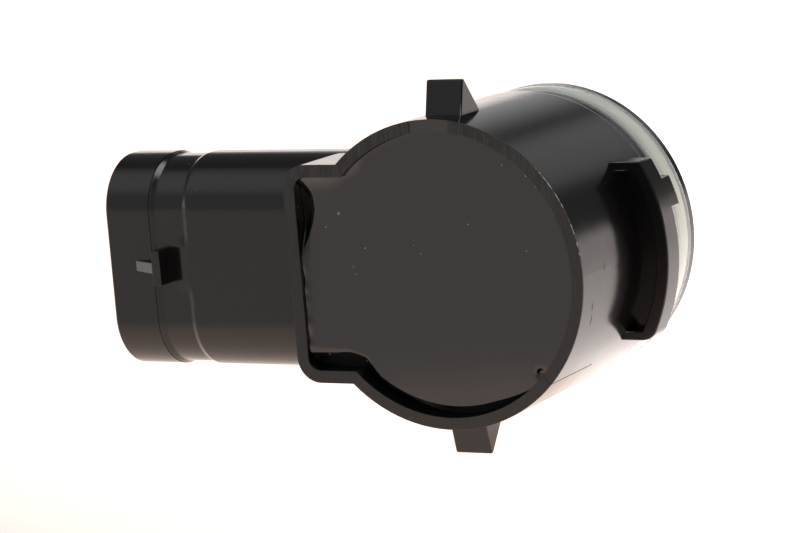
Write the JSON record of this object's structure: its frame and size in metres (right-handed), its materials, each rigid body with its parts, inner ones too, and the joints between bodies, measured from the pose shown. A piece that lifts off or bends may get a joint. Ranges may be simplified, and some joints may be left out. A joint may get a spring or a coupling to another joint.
{
  "type": "parking sensor",
  "caption": "Ultrasonic parking sensor: black moulded barrel with a side connector, snap lugs and an arc flange, a silicone-mounted front membrane and a potted rear.",
  "frame": {"origin": "centre of the membrane's outer face", "axes": "+Y out of the front along the sensing axis, +X away from the connector, +Z towards the upper lug"},
  "size_m": [0.0439, 0.0206, 0.028],
  "materials": {
    "housing_plastic": "moulded black, satin gloss",
    "potting_resin": "cured black resin, glossy",
    "silicone": "translucent pale silicone",
    "membrane_paint": "aluminium with black paint",
    "piezo_ceramic": "fired, silvered",
    "foam": "soft damping foam",
    "copper_wire": "bare copper",
    "carrier_plastic": "moulded",
    "contact_metal": "tinned brass",
    "board_laminate": "green solder mask",
    "chip_plastic": "moulded",
    "lead_metal": "tinned",
    "ferrite": "sintered",
    "capacitor_plastic": "moulded",
    "chip_ceramic": "fired"
  },
  "bodies": {
    "root": {"housing": "housing_plastic", "decoupling_ring": "silicone", "membrane_cup": "membrane_paint", "piezo_disc": "piezo_ceramic", "damping_foam": "foam", "piezo_lead": "copper_wire", "cup_lead": "copper_wire", "transducer_carrier": "carrier_plastic", "contact_pin_a": "contact_metal", "contact_pin_b": "contact_metal", "circuit_board": "board_laminate", "signal_chip": "chip_plastic", "chip_leads": "lead_metal", "transformer_base": "carrier_plastic", "transformer_coil": "copper_wire", "transformer_core": "ferrite", "storage_capacitor": "capacitor_plastic", "ceramic_capacitors": "chip_ceramic", "chip_resistors": "chip_ceramic", "terminal_upper": "contact_metal", "terminal_middle": "contact_metal", "terminal_lower": "contact_metal", "potting_fill": "potting_resin"}
  },
  "joints": []
}
